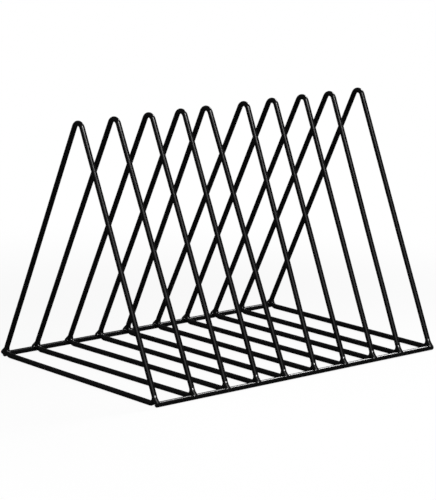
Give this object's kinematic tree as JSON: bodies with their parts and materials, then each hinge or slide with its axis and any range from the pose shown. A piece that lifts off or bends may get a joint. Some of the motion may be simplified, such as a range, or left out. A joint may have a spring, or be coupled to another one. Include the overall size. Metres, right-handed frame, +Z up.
{
  "type": "magazine rack",
  "caption": "Free-standing desk rack of black coated steel wire: a row of upright triangular frames welded to two floor rails, with slots between the frames for magazines.",
  "frame": {"origin": "on the floor, under the middle of the rack", "axes": "+X along the rails from frame_01 to frame_10, +Y from the front rail to the rear rail, +Z up"},
  "size_m": [0.3078, 0.1938, 0.205],
  "materials": {
    "black_coat": "semi-gloss black powder coat over round steel wire, with a faint orange peel",
    "coated_weld": "the same black coat over a rippled weld bead, thicker and glossier"
  },
  "bodies": {
    "root": {"frame_01": "black_coat", "frame_02": "black_coat", "frame_03": "black_coat", "frame_04": "black_coat", "frame_05": "black_coat", "frame_06": "black_coat", "frame_07": "black_coat", "frame_08": "black_coat", "frame_09": "black_coat", "frame_10": "black_coat", "front_rail": "black_coat", "rear_rail": "black_coat", "front_weld_01": "coated_weld", "front_weld_02": "coated_weld", "front_weld_03": "coated_weld", "front_weld_04": "coated_weld", "front_weld_05": "coated_weld", "front_weld_06": "coated_weld", "front_weld_07": "coated_weld", "front_weld_08": "coated_weld", "front_weld_09": "coated_weld", "front_weld_10": "coated_weld", "rear_weld_01": "coated_weld", "rear_weld_02": "coated_weld", "rear_weld_03": "coated_weld", "rear_weld_04": "coated_weld", "rear_weld_05": "coated_weld", "rear_weld_06": "coated_weld", "rear_weld_07": "coated_weld", "rear_weld_08": "coated_weld", "rear_weld_09": "coated_weld", "rear_weld_10": "coated_weld"}
  },
  "joints": []
}
